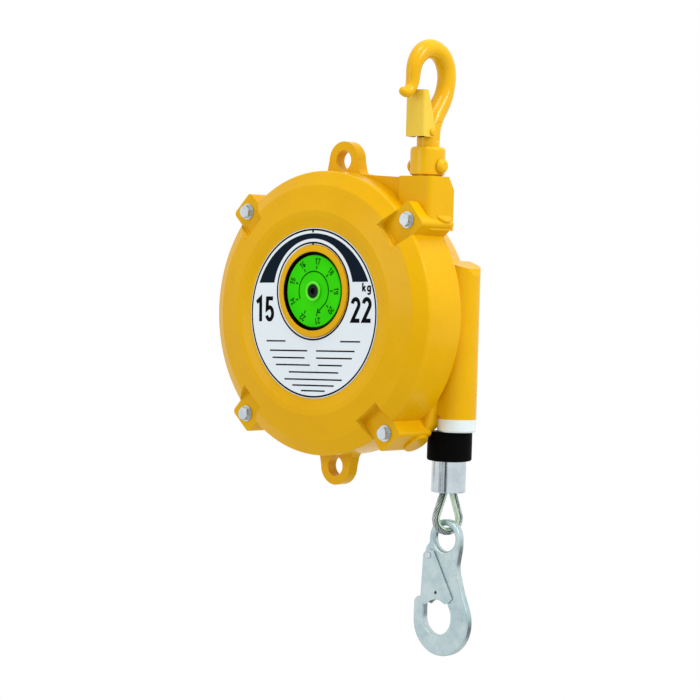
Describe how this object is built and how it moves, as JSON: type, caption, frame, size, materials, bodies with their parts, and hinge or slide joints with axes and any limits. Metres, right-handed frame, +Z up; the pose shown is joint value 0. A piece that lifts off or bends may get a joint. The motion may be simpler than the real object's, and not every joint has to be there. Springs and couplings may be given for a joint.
{
  "type": "spring tool balancer",
  "caption": "Spring tool balancer: round cast housing on a swivelling safety hook, paying out a steel wire rope with a bumper and a flat snap hook.",
  "frame": {"origin": "seat of the upper hook, where the balancer hangs", "axes": "+Z up along the hook shank, -Y towards the dial face, +X towards the rope side"},
  "size_m": [0.2402, 0.0927, 0.5122],
  "materials": {
    "yellow_paint": "gloss enamel on castings and forgings",
    "zinc_steel": "bright zinc plated",
    "plain_steel": "machined",
    "wire_rope": "galvanised wire rope",
    "bronze": "sintered bronze",
    "white_nylon": "moulded nylon",
    "green_plastic": "moulded green plastic",
    "black_rubber": "moulded rubber",
    "black_oxide": "blackened",
    "white_plate": "printed aluminium plate",
    "galvanised": "pressed galvanised sheet",
    "spring_steel": "blued spring steel",
    "grey_iron": "machined casting"
  },
  "bodies": {
    "case": {"rear_case": "yellow_paint", "front_cover": "yellow_paint", "cover_bolts": "zinc_steel", "bolt_washers": "zinc_steel", "barrel_nuts": "yellow_paint", "rating_plate": "white_plate", "dial_plate": "black_oxide", "rope_guide": "white_nylon", "main_shaft": "plain_steel", "drum_thrust_ring": "bronze", "worm_bushes": "bronze", "thrust_washers": "bronze"},
    "hanger": {"hook_socket": "yellow_paint", "socket_cross_pin": "yellow_paint", "upper_hook": "yellow_paint", "upper_latch_pin": "yellow_paint", "swivel_nut": "zinc_steel"},
    "hanger_latch": {"upper_latch": "yellow_paint", "upper_latch_spring": "spring_steel"},
    "drum": {"cable_drum": "grey_iron", "rope_turns": "wire_rope", "main_spring": "spring_steel", "drum_lid": "plain_steel", "lid_screws": "zinc_steel", "drum_bush": "bronze"},
    "arbor": {"spring_arbor": "plain_steel", "worm_wheel": "bronze", "indicator_pinion": "plain_steel"},
    "adjuster": {"worm": "plain_steel"},
    "indicator": {"dial": "green_plastic", "dial_gear": "plain_steel", "dial_nut": "zinc_steel", "dial_screw": "black_oxide"},
    "rope_end": {"rope_run": "wire_rope", "rope_tail": "wire_rope", "rope_clamp": "plain_steel", "rope_bumper": "black_rubber", "rope_ferrule": "zinc_steel", "rope_loop": "wire_rope", "rope_thimble": "galvanised"},
    "snap_hook": {"load_hook": "zinc_steel", "load_latch_rivet": "zinc_steel"},
    "snap_latch": {"load_latch": "zinc_steel", "load_latch_spring": "spring_steel"}
  },
  "joints": [
    {"name": "hanger_swivel", "type": "hinge", "parent": "case", "child": "hanger", "pos_m": [0, 0, -0.0968], "axis": [0, 0, 1], "continuous": true},
    {"name": "hanger_latch_swing", "type": "hinge", "parent": "hanger", "child": "hanger_latch", "pos_m": [0, -0.0074, -0.061], "axis": [1, 0, 0], "range_deg": [-32, 0], "stiffness_Nm_per_rad": 0.05, "springref_deg": 34.38},
    {"name": "rope_pull", "type": "slide", "parent": "case", "child": "rope_end", "axis": [0, 0, -1], "range_m": [0, 1.5], "stiffness_N_per_m": 40, "springref_m": -3.75, "deforming": ["rope_run"]},
    {"name": "drum_spin", "type": "hinge", "parent": "case", "child": "drum", "pos_m": [-0.0882, 0.0314, -0.2125], "axis": [0, 1, 0], "range_deg": [0, 900]},
    {"name": "arbor_turn", "type": "hinge", "parent": "case", "child": "arbor", "pos_m": [-0.0882, -0.015, -0.2125], "axis": [0, 1, 0], "range_deg": [0, 680]},
    {"name": "adjuster_turn", "type": "hinge", "parent": "case", "child": "adjuster", "pos_m": [-0.0882, -0.015, -0.2585], "axis": [1, 0, 0], "range_deg": [0, 10210]},
    {"name": "indicator_turn", "type": "hinge", "parent": "case", "child": "indicator", "pos_m": [-0.0882, -0.0366, -0.194], "axis": [0, 1, 0], "range_deg": [-330, 0]},
    {"name": "snap_hook_swing", "type": "hinge", "parent": "rope_end", "child": "snap_hook", "pos_m": [0.0053, 0.0329, -0.3923], "axis": [0, 1, 0], "range_deg": [-60, 60]},
    {"name": "snap_latch_swing", "type": "hinge", "parent": "snap_hook", "child": "snap_latch", "pos_m": [-0.0104, 0.0329, -0.4126], "axis": [0, 1, 0], "range_deg": [-24, 0], "stiffness_Nm_per_rad": 0.05, "springref_deg": 34.38}
  ],
  "couplings": [
    {"joint": "drum_spin", "follows": "rope_pull", "rad_per_m": 10.46},
    {"joint": "adjuster_turn", "follows": "arbor_turn", "ratio": 15},
    {"joint": "indicator_turn", "follows": "arbor_turn", "ratio": -0.48}
  ]
}
